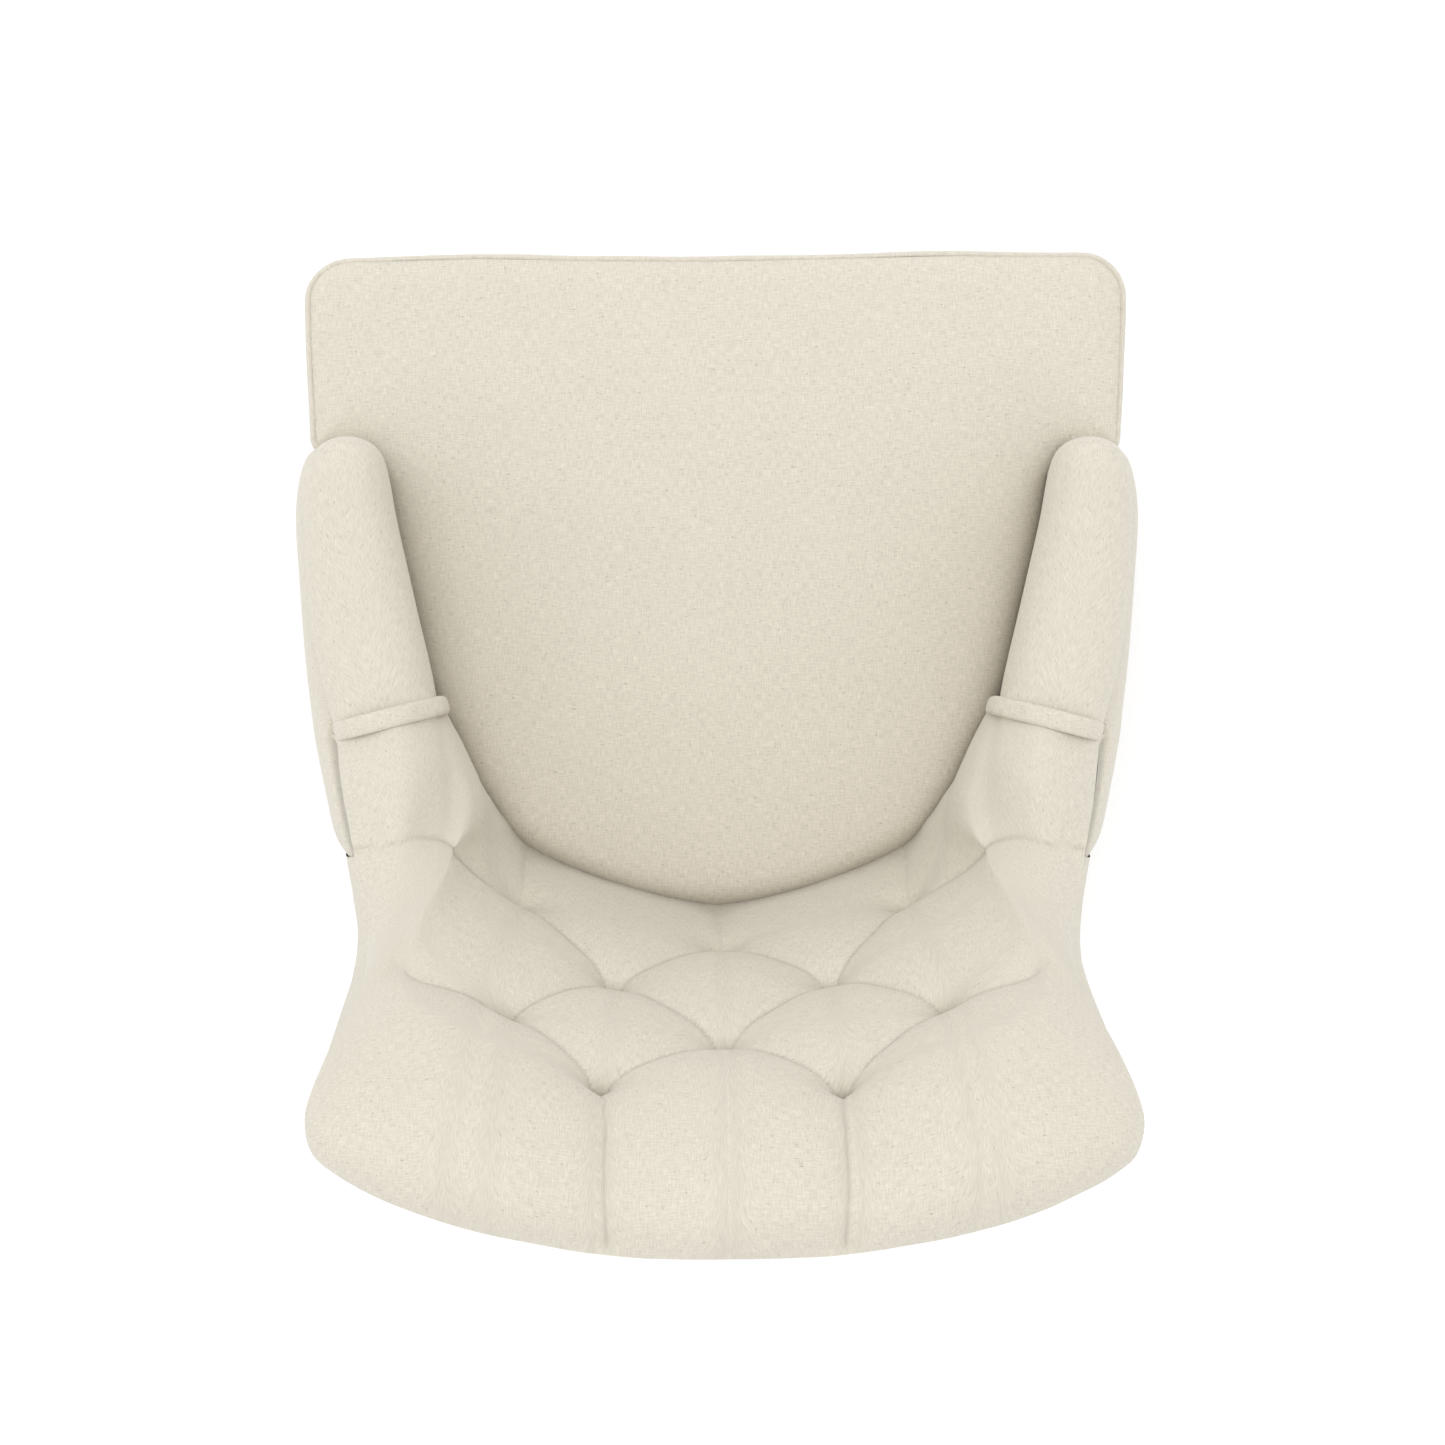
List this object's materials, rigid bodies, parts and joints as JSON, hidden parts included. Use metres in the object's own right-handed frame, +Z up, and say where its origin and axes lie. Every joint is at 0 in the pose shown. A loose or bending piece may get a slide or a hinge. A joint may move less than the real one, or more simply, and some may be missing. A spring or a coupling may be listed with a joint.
{
  "type": "upholstered armchair",
  "caption": "Upholstered armchair with a fixed boxed seat pad, padded arms and a flared, diamond-tufted back on tapered legs.",
  "frame": {"origin": "on the floor under the middle of the chair's bounding box", "axes": "+Z up, -Y towards the front of the chair, +X towards the sitter's left"},
  "size_m": [0.6872, 0.75, 0.94],
  "materials": {
    "cover_cloth": "woven linen look",
    "foam": "open-cell foam",
    "leg_wood": "dark satin stain",
    "frame_wood": "plain sawn",
    "lining_cloth": "non-woven",
    "webbing": "woven",
    "twine": "waxed",
    "spring_steel": "satin",
    "glide_plastic": "matte",
    "toggle_plastic": "matte"
  },
  "bodies": {
    "root": {"back_foam": "foam", "back_inner_cover": "cover_cloth", "back_webbing": "webbing", "corner_blocks": "frame_wood", "crest_rail": "frame_wood", "dust_cover": "lining_cloth", "front_border": "cover_cloth", "front_seat_rail": "frame_wood", "left_arm_band": "cover_cloth", "left_arm_cover": "cover_cloth", "left_arm_foam": "foam", "left_arm_post": "frame_wood", "left_arm_rail": "frame_wood", "left_back_post": "frame_wood", "left_back_side_panel": "cover_cloth", "left_front_leg": "leg_wood", "left_outer_arm_panel": "cover_cloth", "left_rear_leg": "leg_wood", "left_seat_rail": "frame_wood", "left_wing_board": "frame_wood", "leg_bolts": "spring_steel", "leg_glides": "glide_plastic", "leg_nuts": "spring_steel", "lower_back_rail": "frame_wood", "outer_back_panel": "cover_cloth", "rear_seat_rail": "frame_wood", "right_arm_band": "cover_cloth", "right_arm_cover": "cover_cloth", "right_arm_foam": "foam", "right_arm_post": "frame_wood", "right_arm_rail": "frame_wood", "right_back_post": "frame_wood", "right_back_side_panel": "cover_cloth", "right_front_leg": "leg_wood", "right_outer_arm_panel": "cover_cloth", "right_rear_leg": "leg_wood", "right_seat_rail": "frame_wood", "right_wing_board": "frame_wood", "seat_deck_cloth": "lining_cloth", "seat_foam": "foam", "seat_side_band": "cover_cloth", "seat_springs": "spring_steel", "seat_top_panel": "cover_cloth", "spring_clips": "spring_steel", "tuft_toggles": "toggle_plastic", "tuft_twine": "twine"}
  },
  "joints": []
}
